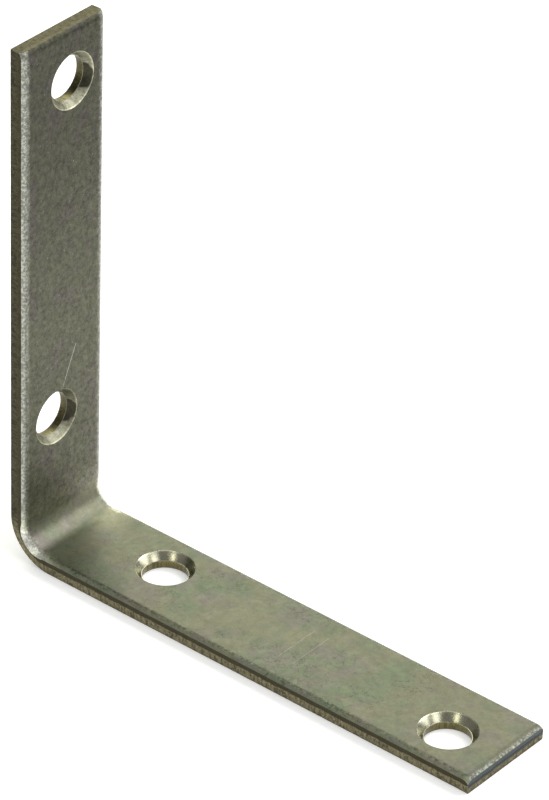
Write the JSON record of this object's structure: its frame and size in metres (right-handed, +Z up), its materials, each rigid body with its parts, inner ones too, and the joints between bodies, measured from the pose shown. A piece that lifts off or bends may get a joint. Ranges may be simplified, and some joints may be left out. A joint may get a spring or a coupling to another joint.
{
  "type": "corner brace",
  "caption": "Right-angle corner brace folded from one flat steel strip, with countersunk screw holes staggered along both legs.",
  "frame": {"origin": "on the foot leg's outer face, under the middle of the bounding box", "axes": "+X along the foot leg away from the fold, +Y across the strip, +Z up the upright leg"},
  "size_m": [0.127, 0.0254, 0.127],
  "materials": {
    "zinc_plated_steel": "satin mottled zinc plating"
  },
  "bodies": {
    "root": {"corner_brace": "zinc_plated_steel"}
  },
  "joints": []
}
